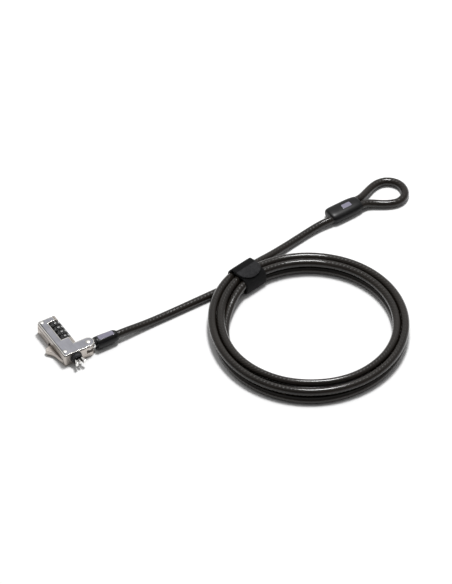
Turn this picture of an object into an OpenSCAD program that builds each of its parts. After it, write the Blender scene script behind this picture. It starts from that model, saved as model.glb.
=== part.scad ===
// Laptop cable lock: an L-shaped four-dial combination head on a swivel, with a coiled steel cable.
// Frame: z = 0 is the resting face, x = 0 and y = 0 lie under the axis of the locking tip, on the centre
// line of the cable leg. +X runs to the cable, the tip points along -Y, the dial leg runs along +Y.

/* [Head] */
// Width of the leg that the cable leaves
cable_leg_w = 8.4; // [7.5:0.1:10.5]
// From the tip axis to the outer side of the dial leg
corner_x = 8.6; // [8.4:0.1:10.5]
// From the tip axis to the swivel pivot
pivot_x = 11.7; // [11:0.1:15]
// Height of the cast body under the cover
body_h = 8.8; // [8.8:0.1:11]
// Width of the cover over the dial leg
cover_leg_w = 11.4; // [11.2:0.1:12.5]
// Thickness of the cover
cover_t = 0.8; // [0.6:0.05:1.2]
// Height of the dark seam under the cover
seam_h = 0.3; // [0.2:0.05:0.5]
// How far the cover stands back from the body's sides
cover_inset = 0.2; // [0.1:0.05:0.4]
// Body between the cable leg and the dial window
near_block_l = 6.2; // [5.5:0.1:8]
// Body beyond the dial window
far_block_l = 4.4; // [4.2:0.1:6]
// Distance of the inner wall of the dial leg from the tip axis
inner_wall_x = 5.4; // [5.3:0.05:6]
// Rounding of the top inner edge of the dial leg
inner_round = 2.3; // [1.5:0.1:2.3]

/* [Dials] */
// Number of code dials
dial_count = 4; // [3:1:5]
// Distance from dial to dial
dial_pitch = 4.45; // [4.3:0.05:5.6]
// Width of one dial wheel
dial_w = 3.6; // [3:0.05:3.7]
// Radius of the dial wheels
dial_r = 4.75; // [4.3:0.05:4.8]
// Positions on each dial
dial_steps = 10; // [8:1:10]
// How far the dials stand above the cover
dial_proud = 0.25; // [0.1:0.05:0.4]
// Distance of the dial axis from the tip axis
dial_x = 1.3; // [1.2:0.05:1.5]
// Radius of the spindle
spindle_r = 1.5; // [1.1:0.05:1.6]

/* [Locking tip] */
// Height of the tip axis over the resting face
tip_z = 5.2; // [5.1:0.05:5.4]
// Thickness of the prongs, which enter the 3 mm side of the slot
prong_t = 2.8; // [2.2:0.1:2.9]
// Half the width over the prongs when they are spread
prong_spread = 3.95; // [3.7:0.05:4.2]
// How far the prongs reach past the bumper
prong_reach = 4.2; // [3.4:0.1:5]
// How far the bumper stands off the body
bumper_l = 2.9; // [2.2:0.1:3.5]
// Radius of the bumper
bumper_r = 3.7; // [3.6:0.05:3.9]

/* [Lever] */
// Height of the lever over the resting face
lever_z = 0.95; // [0.8:0.05:1]
// Thickness of the thumb lever
lever_t = 3.1; // [2.6:0.05:3.15]
// How far the thumb lobe stands out of the dial leg
lever_out = 5.4; // [4.5:0.1:6.5]

/* [Swivel] */
// Height of the swivel axis over the resting face
swivel_z = 5.0; // [4.9:0.05:5.2]
// Thickness of the swivel tongue
tongue_t = 2.2; // [1.8:0.05:2.4]
// Radius of the pivot pin
pivot_r = 1.25; // [1:0.05:1.4]
// Radius of the swivel shank
shank_r = 1.6; // [1.3:0.05:1.7]

/* [Cable] */
// Diameter of the sheathed cable
cable_d = 5.5; // [4.8:0.1:5.6]
// Radius of the moulded ferrule
ferrule_r = 4.55; // [4.4:0.05:4.9]
// Length of the moulded ferrule
ferrule_l = 16.5; // [16:0.5:20]
// Inner radius of the coil
coil_in = 53.4; // [48:0.2:64]
// Radial width of the coiled bundle
coil_w = 15.0; // [13:0.2:16]
// Height of the coiled bundle
coil_h = 11.2; // [10.5:0.1:12]
// Width of the hook-and-loop strap
strap_w = 17.0; // [12:0.5:20]
// Thickness of the strap
strap_t = 1.2; // [0.8:0.1:1.6]
// Length of the moulded sleeve that closes the eye
sleeve_l = 24.5; // [20:0.5:29.5]

/* [Hidden] */

eps = 0.01;
run = 0.05;          // radial running clearance of pins, spindle and shank
slip = 0.15;         // clearance of parts that slide past each other
wall = 1.2;          // outer walls of the cast body
$fn = 64;

// Head
leg_y = cable_leg_w / 2;
front_y = -leg_y;
window_y = leg_y + near_block_l;
window_l = dial_count * dial_pitch + 0.2;
far_y = window_y + window_l + far_block_l;
cover_z = body_h + seam_h;
top_z = cover_z + cover_t;
cover_x = cover_leg_w - corner_x;
barrel_top = top_z - slip;
corner_r = 1.2;
edge_r = 1.2;
window_x = -2.9;
rivet_xy = [-corner_x + 2.5, far_y - 2.0];
lever_xy = [-corner_x + 2.5, -0.2];
rivet_r = 1.0;
head_r = 1.45;
head_h = 0.32;
pivot_head_r = head_r + 0.1;
rivet_z = 4.0;        // lower ends of the three rivets
pivot_z = 0.5;
lever_pin_z = 0.3;
lip_inset = 0.8;      // the cover's lip, which stands in the seam
lip_x = cover_x - 0.5;
lip_gap = 0.4;
groove_z = 5.3;       // parting groove along the outer side
groove_h = 0.35;
groove_d = 0.2;
groove_end = 1.0;

// Dials
dial_z = top_z + dial_proud - dial_r;
dial_room = 0.3;
hub_r = 2.8;
flange_r = 3.7;
flange_t = dial_pitch - dial_w - 2 * slip;
gate_w = 1.3;
gate_r = flange_r - 1.25;
grip_r = 0.95;
spring_r = spindle_r + 0.9;
spring_l = 2.15;
screw_r = 2.2;
screw_l = 1.5;
coin_slot = [1.7, 0.6, 0.3];   // half width, depth and half height of the slot in the reset screw
spindle_y = window_y - near_block_l + 1.3;
end_gap = 0.1;        // play at the ends of the spindle, its spring and the reset screw

// Locking tip
bumper_y = front_y - bumper_l;
tip_y = bumper_y - prong_reach;
prong_pivot = [2.4, -1.7];
prong_eye_r = 1.3;
prong_pin_r = 0.7;
prong_in = 1.55;
prong_out = 2.7;
plug_r = 3.4;
tip_bore = [2 * (prong_out + 0.25), prong_t + 0.5];
spreader_r = 0.85;
foot_w = 1.2;
foot_t = 0.6;
foot_gap = 0.55;      // from the finger's centre to each foot of the spreader
finger_r = 0.45;
finger_y = 1.7;
arm_neck_l = 1.4;
arm_neck_w = 0.7;
press_a = 14;         // travel of the lever, in degrees
tip_room_x = 4.2;     // half width of the room for the prongs
tip_room_z = tip_z - prong_t / 2 - 0.4;
back_y = leg_y - 1;   // inner face of the cable leg's far wall
prong_pin_z = 2.9;
pin_end = 0.1;
flare = 0.35;         // corner taken off each prong's flared end
flange_extra = 0.6;   // the bumper's flange, and the rounding of its front
flange_l = 0.8;
bumper_round = 0.5;
spreader_y = tip_y + 0.7;
rib_count = 4;
rib_pitch = 0.85;
rib_w = 0.4;
rib_h = 0.2;

// Lever and lock bar
lever_top = lever_z + lever_t;
pocket_z = lever_z - 0.25;
pocket_top = lever_top + 0.25;
arm_top = tip_z - prong_t / 2 - slip;
lever_eye_r = 2.2;
lobe_x = -corner_x - lever_out;
lobe_y = 12.1;
bar_x = -corner_x + 2.8;
bar_w = 0.8;
bar_z = pocket_top + 0.25;
bar_top = dial_z + 0.7;
tab_y = 4.3;
tab_w = 0.7;
tab_z = 2.4;
tooth_h = 0.8;
bar_room = 0.2;
strip_x = -5.0;                // detent strip, its leaves and their room in the wall
strip_t = 0.25;
strip_z = bar_top + 0.7;
strip_end = 0.5;
leaf_x = strip_x + 1.5;
leaf_w = 2.4;
leaf_z = body_h - 0.8;
detent_room = 0.1;
slot_y = lobe_y + 5.5;         // far end of the lever's slot
eye_room = 0.3;
lever_room = [2.1, -3.9];      // how far the slot starts before the lever's axis, and where it ends in x
spring_room = [0.1, 2.0];      // round the lever's spring, and its height over the lever
tab_room = [0.9, 1.5];         // before the lock bar's tab, and beside it
arm_room = [1.6, -1.25, 1.3];  // end in x, start in y, and depth under the tip axis of the arm's room
lever_spring_h = 1.6;
finger_t = flange_t - slip;

// Swivel and ferrule
slot_h = tongue_t + 0.4;
slot_x = pivot_x - 3.1;
tongue_r = 3.0;
neck_w = 4.4;
ferrule_x = pivot_x + leg_y + wall;
collar_x = ferrule_x + 1.3;
collar_l = 2.0;
collar_r = 3.6;
shank_head_r = 2.5;
shank_head_x = collar_x + collar_l + slip;
shank_head_l = 1.6;
crimp_x = shank_head_x + shank_head_l + 1.0;
ferrule_end = ferrule_x + ferrule_l;
crimp_end = ferrule_end - 2.3;
cable_r = cable_d / 2;
crimp_r = cable_r + 0.75;
pin_bore = [0.4, 0.3];         // room behind and round the shank's head
label_x = [2.0, 2.4];          // ends of the ferrule's flat, from each end
label_w = 4.6;
label_z = swivel_z + ferrule_r - 0.55;

// Cable route: the coil's centre, and points chosen by hand along the lead, the tail and the eye
coil_c = [148, -59];
coil_mid = coil_in + coil_w / 2;
strap_a = 101.6;
tail_room = 3.5;      // the tail lies beside the coil under the strap
lead_pts = [[crimp_x + 0.3, 0, swivel_z], [ferrule_end, 0, swivel_z], [40, 0.1, 4.8], [48, 0.4, 4.0],
    [58, 0.8, 3.1], [70, 1.2, cable_r], [82, 1.6, cable_r], [94, 2.1, cable_r], [106, 2.6, cable_r],
    [117, 3.1, 3.3], [127, 3.5, 4.1]];
sleeve_a = 4;
sleeve_xy = [212, 25];
sleeve_z = 4.0;
sleeve_r = 4.0;
strand_gap = 2.85;
sleeve_wall = 1.2;
crimp_wall = 0.5;
crimp_inset = 5;      // how far the eye's crimp lies inside each end of its sleeve
strap_r = 1.2;        // inner corner radius of the strap
flap_x = 1;           // start of the strap's overlapping end
tail_pts = [[131, 7.3, 7.6], [140, 9.6, 6.2], [150, 11.7, 5.0], [160, 13.8, 3.9], [172, 16.4, 3.0],
    [184, 18.9, 2.8], [195, 21.0, 3.0], [204, 22.1, 3.5]];
eye_pts = [[240.5, 23.8, 3.7], [245.0, 21.8, 3.2], [249.8, 18.9, 2.85], [254.8, 16.4, cable_r],
    [259.8, 15.2, cable_r], [264.6, 16.4, cable_r], [268.2, 19.8, cable_r], [269.8, 24.6, cable_r],
    [269.2, 29.6, cable_r], [266.4, 33.8, cable_r], [262.0, 36.6, cable_r], [256.8, 37.2, cable_r],
    [251.4, 35.8, 2.8], [246.0, 33.2, 3.2], [240.6, 30.6, 3.7]];

// Colours
nickel = [0.78, 0.75, 0.72];
gunmetal = [0.58, 0.58, 0.61];
bright = [0.88, 0.88, 0.88];
black = [0.08, 0.08, 0.08];
rubber = [0.2, 0.2, 0.21];
steel = [0.6, 0.6, 0.6];
sheath = [0.13, 0.12, 0.11];

// ---- Shared shapes ----

// Rectangle from corner a to corner b with round corners of radius r
module soft_rect(a, b, r) {
    translate([a[0] + r, a[1]]) square([b[0] - a[0] - 2 * r, b[1] - a[1]]);
    translate([a[0], a[1] + r]) square([b[0] - a[0], b[1] - a[1] - 2 * r]);
    for (x = [a[0] + r, b[0] - r], y = [a[1] + r, b[1] - r]) translate([x, y]) circle(r);
}

// Plan of the L, drawn in by d all round; x_in is the inner side of the dial leg
module head_plan(d, x_in) {
    soft_rect([-corner_x + d, front_y + d], [x_in, far_y - d], corner_r);
    translate([-corner_x + d + corner_r, front_y + d])
        square([pivot_x + corner_x - d - corner_r, cable_leg_w - 2 * d]);
    translate([pivot_x, 0]) circle(leg_y - d);
}

// A cylinder along +Y from y0 to y1 about (x, z)
module rod_y(x, z, y0, y1, r) translate([x, y1, z]) rotate([90, 0, 0]) cylinder(r = r, h = y1 - y0);

// A cylinder along +X from x0 to x1 on the swivel axis
module rod_x(x0, x1, r) translate([x0, 0, swivel_z]) rotate([0, 90, 0]) cylinder(r = r, h = x1 - x0);

// A block from corner a to corner b
module block(a, b) translate(a) cube(b - a);

// A rivet with a low domed head on the cover, shank from z0 up
module rivet(xy, r, z0, hr) translate([xy[0], xy[1], 0]) rotate_extrude() {
    translate([0, z0]) square([r, top_z - z0]);
    translate([0, top_z]) polygon([[0, 0], [hr, 0], [hr, head_h * 0.4], [hr * 0.8, head_h * 0.85],
        [hr * 0.45, head_h], [0, head_h]]);
}

// First y of dial wheel i, counted from 0
function dial_y(i) = window_y + 0.2 + i * dial_pitch;

// ---- Cable sweep ----

sides = 12;
function unit(v) = v / norm(v);
function heading(p, i) = unit(p[min(i + 1, len(p) - 1)] - p[max(i - 1, 0)]);
function ring(p, i, r) = let (t = heading(p, i), s = unit(cross([0, 0, 1], t)), u = cross(t, s))
    [for (k = [0:sides - 1]) p[i] + r * (cos(360 * k / sides) * s + sin(360 * k / sides) * u)];

// A closed tube of radius r along the points p
module tube(p, r) {
    n = len(p);
    pts = [for (i = [0:n - 1]) each ring(p, i, r)];
    walls = [for (i = [0:n - 2], k = [0:sides - 1]) let (a = i * sides, b = a + sides, m = (k + 1) % sides)
        [a + k, b + k, b + m, a + m]];
    polyhedron(pts, concat([[for (k = [0:sides - 1]) k]], walls,
        [[for (k = [sides - 1:-1:0]) (n - 1) * sides + k]]), convexity = 6);
}

// A point of the sleeve's frame: s along it, w across it
function on_sleeve(s, w) = [sleeve_xy[0] + s * cos(sleeve_a) - w * sin(sleeve_a),
    sleeve_xy[1] + s * sin(sleeve_a) + w * cos(sleeve_a), sleeve_z];

// Moves children, drawn along +Z, to lie along the sleeve from s
module along_sleeve(s) translate(on_sleeve(s, 0)) rotate([0, 0, sleeve_a]) rotate([90, 0, 90]) children();

// ---- Head ----

// Section of the dial leg's inner side, with its top and bottom edges rounded
module barrel_section() intersection() {
    x0 = cover_x + slip;
    union() {
        translate([x0, 0]) square([inner_wall_x - inner_round - x0, barrel_top]);
        translate([x0, 0]) square([inner_wall_x - edge_r - x0, barrel_top - inner_round]);
        translate([x0, edge_r]) square([inner_wall_x - x0, barrel_top - inner_round - edge_r]);
        translate([inner_wall_x - inner_round, barrel_top - inner_round]) circle(inner_round);
        translate([inner_wall_x - edge_r, edge_r]) circle(edge_r);
    }
    translate([x0, 0]) square([inner_wall_x, barrel_top]);
}

module mechanism_pockets() {
    // Prongs and spreader
    block([-tip_room_x, front_y + wall, tip_room_z], [tip_room_x, back_y, body_h + eps]);
    rod_y(0, tip_z, front_y - eps, front_y + wall + eps, plug_r + run);
    for (s = [-1, 1]) translate([s * prong_pivot[0], prong_pivot[1], prong_pin_z])
        cylinder(r = prong_pin_r, h = body_h);
    // Lever: its eye, its arm to the spreader, and the slot it swings in
    translate([lever_xy[0], lever_xy[1], pocket_z]) {
        cylinder(r = lever_eye_r + eye_room, h = pocket_top - pocket_z);
        cylinder(r = lever_eye_r + spring_room[0], h = lever_t + spring_room[1]);
    }
    block([lever_xy[0], arm_room[1], pocket_z], [arm_room[0], back_y, tip_z - arm_room[2]]);
    block([-corner_x - 1, lever_xy[1] - lever_room[0], pocket_z], [lever_xy[0], slot_y, pocket_top]);
    block([lever_xy[0] - eps, lever_xy[1], pocket_z], [lever_room[1], slot_y, pocket_top]);
    // Lock bar and its tab
    block([bar_x - bar_room, tab_y - tab_room[0], bar_z - slip],
        [window_x, window_y + window_l - eps, bar_top + bar_room]);
    block([bar_x - bar_room, tab_y - bar_room, tab_z - bar_room],
        [bar_x + bar_w + tab_room[1], tab_y + tab_w + bar_room, bar_top + bar_room]);
    // Detent spring
    block([strip_x - detent_room, window_y + strip_end - bar_room, strip_z - detent_room],
        [window_x + eps, window_y + window_l - strip_end + bar_room, body_h + eps]);
}

module dial_room() {
    block([window_x, window_y, -1], [2 * inner_wall_x, window_y + window_l, 2 * top_z]);
    rod_y(dial_x, dial_z, window_y, window_y + window_l, dial_r + dial_room);
    rod_y(dial_x, dial_z, spindle_y - end_gap, window_y + eps, spindle_r + run);
    rod_y(dial_x, dial_z, window_y + window_l - eps, far_y - screw_l, spindle_r + run);
    rod_y(dial_x, dial_z, window_y + window_l - eps, window_y + window_l + spring_l + 2 * end_gap,
        spring_r + slip);
    rod_y(dial_x, dial_z, far_y - screw_l - end_gap, far_y + eps, screw_r + run);
}

module housing() color(nickel) difference() {
    union() {
        linear_extrude(body_h) head_plan(0, cover_x + slip + corner_r);
        translate([0, far_y, 0]) rotate([90, 0, 0]) linear_extrude(far_y - leg_y) barrel_section();
    }
    mechanism_pockets();
    dial_room();
    block([slot_x, -leg_y - 1, swivel_z - slot_h / 2],
        [pivot_x + leg_y + 1, leg_y + 1, swivel_z + slot_h / 2]);
    translate([pivot_x, 0, pivot_z]) cylinder(r = pivot_r, h = body_h);
    translate([lever_xy[0], lever_xy[1], lever_pin_z]) cylinder(r = rivet_r, h = body_h);
    translate([rivet_xy[0], rivet_xy[1], rivet_z]) cylinder(r = rivet_r, h = body_h);
    block([-corner_x - 1, groove_end, groove_z],
        [-corner_x + groove_d, far_y - groove_end, groove_z + groove_h]);
}

module cover_plate() color(gunmetal) difference() {
    union() {
        translate([0, 0, cover_z]) linear_extrude(cover_t) head_plan(cover_inset, cover_x);
        translate([0, 0, body_h]) linear_extrude(seam_h + eps) head_plan(lip_inset, lip_x);
    }
    block([window_x, window_y, 0], [2 * inner_wall_x, window_y + window_l, 2 * top_z]);
    block([window_x - lip_gap, window_y - lip_gap, 0],
        [2 * inner_wall_x, window_y + window_l + lip_gap, cover_z]);
    translate([rivet_xy[0], rivet_xy[1], 0]) cylinder(r = rivet_r, h = 2 * top_z);
    translate([lever_xy[0], lever_xy[1], 0]) cylinder(r = rivet_r, h = 2 * top_z);
    translate([pivot_x, 0, 0]) cylinder(r = pivot_r, h = 2 * top_z);
}

module cover_rivet() color(bright) rivet(rivet_xy, rivet_r, rivet_z, head_r);
module pivot_pin() color(bright) rivet([pivot_x, 0], pivot_r, pivot_z, pivot_head_r);
module lever_pin() color(bright) rivet(lever_xy, rivet_r, lever_pin_z, head_r);

module lever_spring() color(steel) translate([lever_xy[0], lever_xy[1], lever_top + 2 * run]) difference() {
    cylinder(r = lever_eye_r - 0.2, h = lever_spring_h);
    translate([0, 0, -1]) cylinder(r = rivet_r + 0.15, h = lever_spring_h + 2);
}

// ---- Dials ----

module dial_spindle() color(steel)
    rod_y(dial_x, dial_z, spindle_y, far_y - screw_l - 2 * end_gap, spindle_r);

module spindle_spring() color(steel) difference() {
    rod_y(dial_x, dial_z, window_y + window_l + end_gap, window_y + window_l + spring_l, spring_r);
    rod_y(dial_x, dial_z, window_y, far_y, spindle_r + end_gap);
}

// A comb of leaves, one for each dial, on a strip in the wall beside the dials
module detent_spring() color(steel) {
    block([strip_x, window_y + strip_end, strip_z],
        [strip_x + strip_t, window_y + window_l - strip_end, body_h - detent_room]);
    for (i = [0:dial_count - 1]) {
        y = dial_y(i) + dial_w / 2;
        block([strip_x + strip_t - eps, y - leaf_w / 2, leaf_z], [leaf_x, y + leaf_w / 2, leaf_z + strip_t]);
    }
}

module reset_screw() color(steel) difference() {
    end_y = far_y - end_gap;
    rod_y(dial_x, dial_z, far_y - screw_l, end_y, screw_r);
    block([dial_x - coin_slot[0], end_y - coin_slot[1], dial_z - coin_slot[2]],
        [dial_x + coin_slot[0], far_y, dial_z + coin_slot[2]]);
}

module dial_wheel(i) color(black) difference() {
    rod_y(dial_x, dial_z, dial_y(i), dial_y(i) + dial_w, dial_r);
    rod_y(dial_x, dial_z, dial_y(i) - 1, dial_y(i) + dial_w + 1, hub_r);
    for (k = [0:dial_steps - 1]) {
        a = 90 + 360 * (k + 0.5) / dial_steps;
        d = dial_r + grip_r * 0.62;
        rod_y(dial_x + d * cos(a), dial_z + d * sin(a), dial_y(i) - 1, dial_y(i) + dial_w + 1, grip_r);
    }
}

module code_hub(i) color(steel) {
    y1 = dial_y(i) + dial_w + slip;
    difference() {
        union() {
            rod_y(dial_x, dial_z, dial_y(i), y1 + eps, hub_r);
            rod_y(dial_x, dial_z, y1, y1 + flange_t, flange_r);
        }
        rod_y(dial_x, dial_z, dial_y(i) - 1, y1 + 2, spindle_r + run);
        block([dial_x - 2 * flange_r, y1 + eps, dial_z - gate_w / 2],
            [dial_x - gate_r, y1 + flange_t + 1, dial_z + gate_w / 2]);
    }
}

// ---- Lever and locking tip ----

// Quadratic curve from a to c, pulled towards b
function bend(a, b, c, n = 8) = [for (i = [0:n - 1]) let (t = i / n)
    (1 - t) * (1 - t) * a + 2 * t * (1 - t) * b + t * t * c];

module lever_plan() polygon(concat(
    bend([-corner_x + 0.3, -2.0], [-corner_x - 0.6, -0.8], [-corner_x - 1.1, 2.4]),
    bend([-corner_x - 1.1, 2.4], [-corner_x - 1.6, 8.2], [lobe_x + 0.5, lobe_y - 1.3]),
    bend([lobe_x + 0.5, lobe_y - 1.3], [lobe_x - 0.2, lobe_y + 0.4], [lobe_x + 1.1, lobe_y + 1.5]),
    bend([lobe_x + 1.1, lobe_y + 1.5], [-corner_x - 2.0, lobe_y + 2.4], [-corner_x, lobe_y + 2.7]),
    [[-corner_x + 0.9, lobe_y + 2.3], [-corner_x + 1.4, 8.0], [bar_x - 0.1, tab_y + 1.2],
    [bar_x - 0.1, lever_xy[1] + 1], [lever_xy[0] + 1.5, lever_xy[1] - 1.3]]));

// Corner (i, j) of the arm's neck, which slants by half the lever's travel to clear both feet at both ends
function arm_neck(i, j) = let (s = i * arm_neck_l, w = j * arm_neck_w / 2, a = press_a / 2)
    [s * cos(a) - w * sin(a), finger_y + s * sin(a) + w * cos(a)];

module release_lever() color(nickel) difference() {
    union() {
        translate([0, 0, lever_z]) linear_extrude(lever_t) lever_plan();
        translate([lever_xy[0], lever_xy[1], lever_z]) cylinder(r = lever_eye_r, h = lever_t);
        translate([0, 0, lever_z]) linear_extrude(arm_top - lever_z) {
            polygon([lever_xy + [0.6, -1.0], arm_neck(-1, -1), arm_neck(-1, 1), lever_xy + [-0.3, 1.7]]);
            polygon([arm_neck(-1, -1), arm_neck(0, -1), arm_neck(0, 1), arm_neck(-1, 1)]);
            translate([0, finger_y]) circle(finger_r);
        }
    }
    translate([lever_xy[0], lever_xy[1], 0]) cylinder(r = rivet_r + run, h = body_h);
}

module lock_bar() color(steel) {
    block([bar_x, tab_y, bar_z], [bar_x + bar_w, window_y + window_l - 0.3, bar_top]);
    block([bar_x, tab_y, tab_z], [bar_x + bar_w, tab_y + tab_w, bar_z + eps]);
    for (i = [0:dial_count - 1]) {
        y = dial_y(i) + dial_w + slip + flange_t / 2;
        block([bar_x + bar_w - eps, y - finger_t / 2, dial_z - tooth_h / 2],
            [dial_x - flange_r - 0.4, y + finger_t / 2, dial_z + tooth_h / 2]);
    }
}

module spreader_pin() color(bright) {
    rod_y(0, tip_z, spreader_y, finger_y + foot_gap + foot_t, spreader_r);
    for (k = [0:rib_count - 1]) {
        y = spreader_y + 0.1 + rib_pitch * k;
        rod_y(0, tip_z, y, y + rib_w, spreader_r + rib_h);
    }
    for (y = [finger_y - foot_gap - foot_t, finger_y + foot_gap])
        block([-foot_w / 2, y, arm_top - foot_t], [foot_w / 2, y + foot_t, tip_z]);
}

// One prong in plan on the +X side, from its eye to its flared end
module prong_plan() {
    translate(prong_pivot) circle(prong_eye_r);
    polygon([[prong_in, prong_pivot[1]], [prong_in, bumper_y - 0.1], [prong_in + 0.4, tip_y],
        [prong_spread - flare, tip_y], [prong_spread, tip_y + flare], [prong_out, bumper_y + 0.1],
        [prong_out, prong_pivot[1] - 1.1], [prong_pivot[0] + 1.1, prong_pivot[1]]]);
}

module prong() color(bright) translate([0, 0, tip_z - prong_t / 2]) difference() {
    linear_extrude(prong_t) prong_plan();
    translate([prong_pivot[0], prong_pivot[1], -1]) cylinder(r = prong_pin_r + run, h = prong_t + 2);
}

module prong_right() prong();
module prong_left() mirror([1, 0, 0]) prong();

module prong_pins() color(steel) for (s = [-1, 1])
    translate([s * prong_pivot[0], prong_pivot[1], prong_pin_z])
        cylinder(r = prong_pin_r, h = body_h - prong_pin_z - pin_end);

module rubber_bumper() color(rubber) difference() {
    translate([0, front_y, tip_z]) rotate([90, 0, 0]) rotate_extrude() {
        translate([0, -wall]) square([plug_r, wall + eps]);
        square([bumper_r + flange_extra, flange_l]);
        translate([0, flange_l - eps]) square([bumper_r, bumper_l - bumper_round - flange_l + eps]);
        translate([0, flange_l - eps]) square([bumper_r - bumper_round, bumper_l - flange_l + eps]);
        translate([bumper_r - bumper_round, bumper_l - bumper_round]) circle(bumper_round);
    }
    block([-tip_bore[0] / 2, bumper_y - 1, tip_z - tip_bore[1] / 2],
        [tip_bore[0] / 2, front_y + wall + 1, tip_z + tip_bore[1] / 2]);
}

// ---- Swivel and ferrule ----

module swivel_tongue() color(bright) {
    difference() {
        translate([0, 0, swivel_z - tongue_t / 2]) linear_extrude(tongue_t) {
            translate([pivot_x, 0]) circle(tongue_r);
            translate([pivot_x, -neck_w / 2]) square([leg_y + 0.6, neck_w]);
        }
        translate([pivot_x, 0, 0]) cylinder(r = pivot_r + run, h = body_h);
    }
    rod_x(pivot_x + leg_y + 0.3, shank_head_x + eps, shank_r);
    rod_x(shank_head_x, shank_head_x + shank_head_l, shank_head_r);
}

module swivel_collar() color(steel) difference() {
    rod_x(collar_x, collar_x + collar_l, collar_r);
    rod_x(collar_x - 1, collar_x + collar_l + 1, shank_r + run);
}

module cable_crimp() color(steel) difference() {
    rod_x(crimp_x, crimp_end, crimp_r);
    rod_x(crimp_x - 1, crimp_end + 1, cable_r + run);
}

module ferrule() color(black) difference() {
    translate([ferrule_x, 0, swivel_z]) rotate([90, 0, 90]) rotate_extrude() polygon([[0, 0],
        [ferrule_r - 0.4, 0], [ferrule_r, 0.4], [ferrule_r, ferrule_l * 0.3],
        [ferrule_r - 0.3, ferrule_l - 2], [ferrule_r - 0.75, ferrule_l - 0.9], [cable_r + 0.6, ferrule_l],
        [0, ferrule_l]]);
    rod_x(ferrule_x - 1, collar_x + eps, shank_r + slip);
    rod_x(collar_x, collar_x + collar_l, collar_r);
    rod_x(collar_x + collar_l - eps, shank_head_x + shank_head_l + pin_bore[0], shank_head_r + pin_bore[1]);
    rod_x(crimp_x, crimp_end, crimp_r);
    rod_x(crimp_end - eps, ferrule_end + 1, cable_r + run);
    // Flat for a label
    block([ferrule_x + label_x[0], -label_w / 2, label_z],
        [ferrule_end - label_x[1], label_w / 2, 2 * top_z]);
}

// ---- Cable ----

module cable_lead() color(sheath) tube(lead_pts, cable_r);

module cable_coil() color(sheath) translate([coil_c[0], coil_c[1], 0]) rotate_extrude()
    soft_rect([coil_in, 0], [coil_in + coil_w, coil_h], cable_r);

module cable_tail() color(sheath)
    tube(concat(tail_pts, [on_sleeve(0, -strand_gap), on_sleeve(sleeve_l / 2, -strand_gap)]), cable_r);

module cable_eye() color(sheath) tube(concat([on_sleeve(sleeve_l / 2, -strand_gap),
    on_sleeve(sleeve_l, -strand_gap)], eye_pts, [on_sleeve(sleeve_l, strand_gap),
    on_sleeve(sleeve_l / 2, strand_gap)]), cable_r);

module oval(half_w, r) {
    for (s = [-1, 1]) translate([s * (half_w - r), 0]) circle(r);
    translate([r - half_w, -r]) square([2 * (half_w - r), 2 * r]);
}

// One bore right through for the tail, one from the middle for the strand that comes back
module strand_bores() for (s = [-1, 1]) translate([s * strand_gap, 0, s < 0 ? -1 : sleeve_l / 2])
    cylinder(r = cable_r + run, h = 2 * sleeve_l);

module crimp_body() along_sleeve(crimp_inset) linear_extrude(sleeve_l - 2 * crimp_inset)
    oval(strand_gap + cable_r + crimp_wall, cable_r + crimp_wall);

module eye_crimp() color(steel) difference() {
    crimp_body();
    along_sleeve(0) strand_bores();
}

module eye_sleeve() color(black) difference() {
    along_sleeve(0) linear_extrude(sleeve_l) oval(strand_gap + cable_r + sleeve_wall, sleeve_r);
    crimp_body();
    along_sleeve(0) strand_bores();
}

module strap_section() {
    lo = [coil_in - 0.1, strap_t];
    hi = [coil_in + coil_w + tail_room, coil_h + strap_t];
    difference() {
        soft_rect(lo - [strap_t, strap_t], hi + [strap_t, strap_t], strap_r + 1);
        soft_rect(lo, hi, strap_r);
    }
    // Overlapping end on top
    translate([coil_in + flap_x, hi[1] + strap_t - eps]) square([coil_w, strap_t]);
}

module cable_strap() color(rubber) translate([coil_c[0], coil_c[1], 0]) rotate([0, 0, strap_a])
    translate([0, strap_w / 2, 0]) rotate([90, 0, 0]) linear_extrude(strap_w) strap_section();

module dial_wheel_1() dial_wheel(0);
module dial_wheel_2() dial_wheel(1);
module dial_wheel_3() dial_wheel(2);
module dial_wheel_4() dial_wheel(3);
module code_hub_1() code_hub(0);
module code_hub_2() code_hub(1);
module code_hub_3() code_hub(2);
module code_hub_4() code_hub(3);

housing();
cover_plate();
cover_rivet();
pivot_pin();
lever_pin();
lever_spring();
prong_pins();
rubber_bumper();
dial_spindle();
spindle_spring();
detent_spring();
reset_screw();
dial_wheel_1();
dial_wheel_2();
dial_wheel_3();
dial_wheel_4();
code_hub_1();
code_hub_2();
code_hub_3();
code_hub_4();
release_lever();
lock_bar();
spreader_pin();
prong_left();
prong_right();
swivel_tongue();
swivel_collar();
cable_crimp();
ferrule();
cable_lead();
cable_coil();
cable_tail();
cable_eye();
eye_crimp();
eye_sleeve();
cable_strap();
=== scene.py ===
"""Looks of a laptop cable lock: finishes, dial digits, cable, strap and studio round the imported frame.

Lengths in the classes are in millimetres, as a maker would write them, and become metres in the meshes.
"""

import logging
import math
from collections.abc import Callable
from dataclasses import dataclass
from enum import Enum

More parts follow.
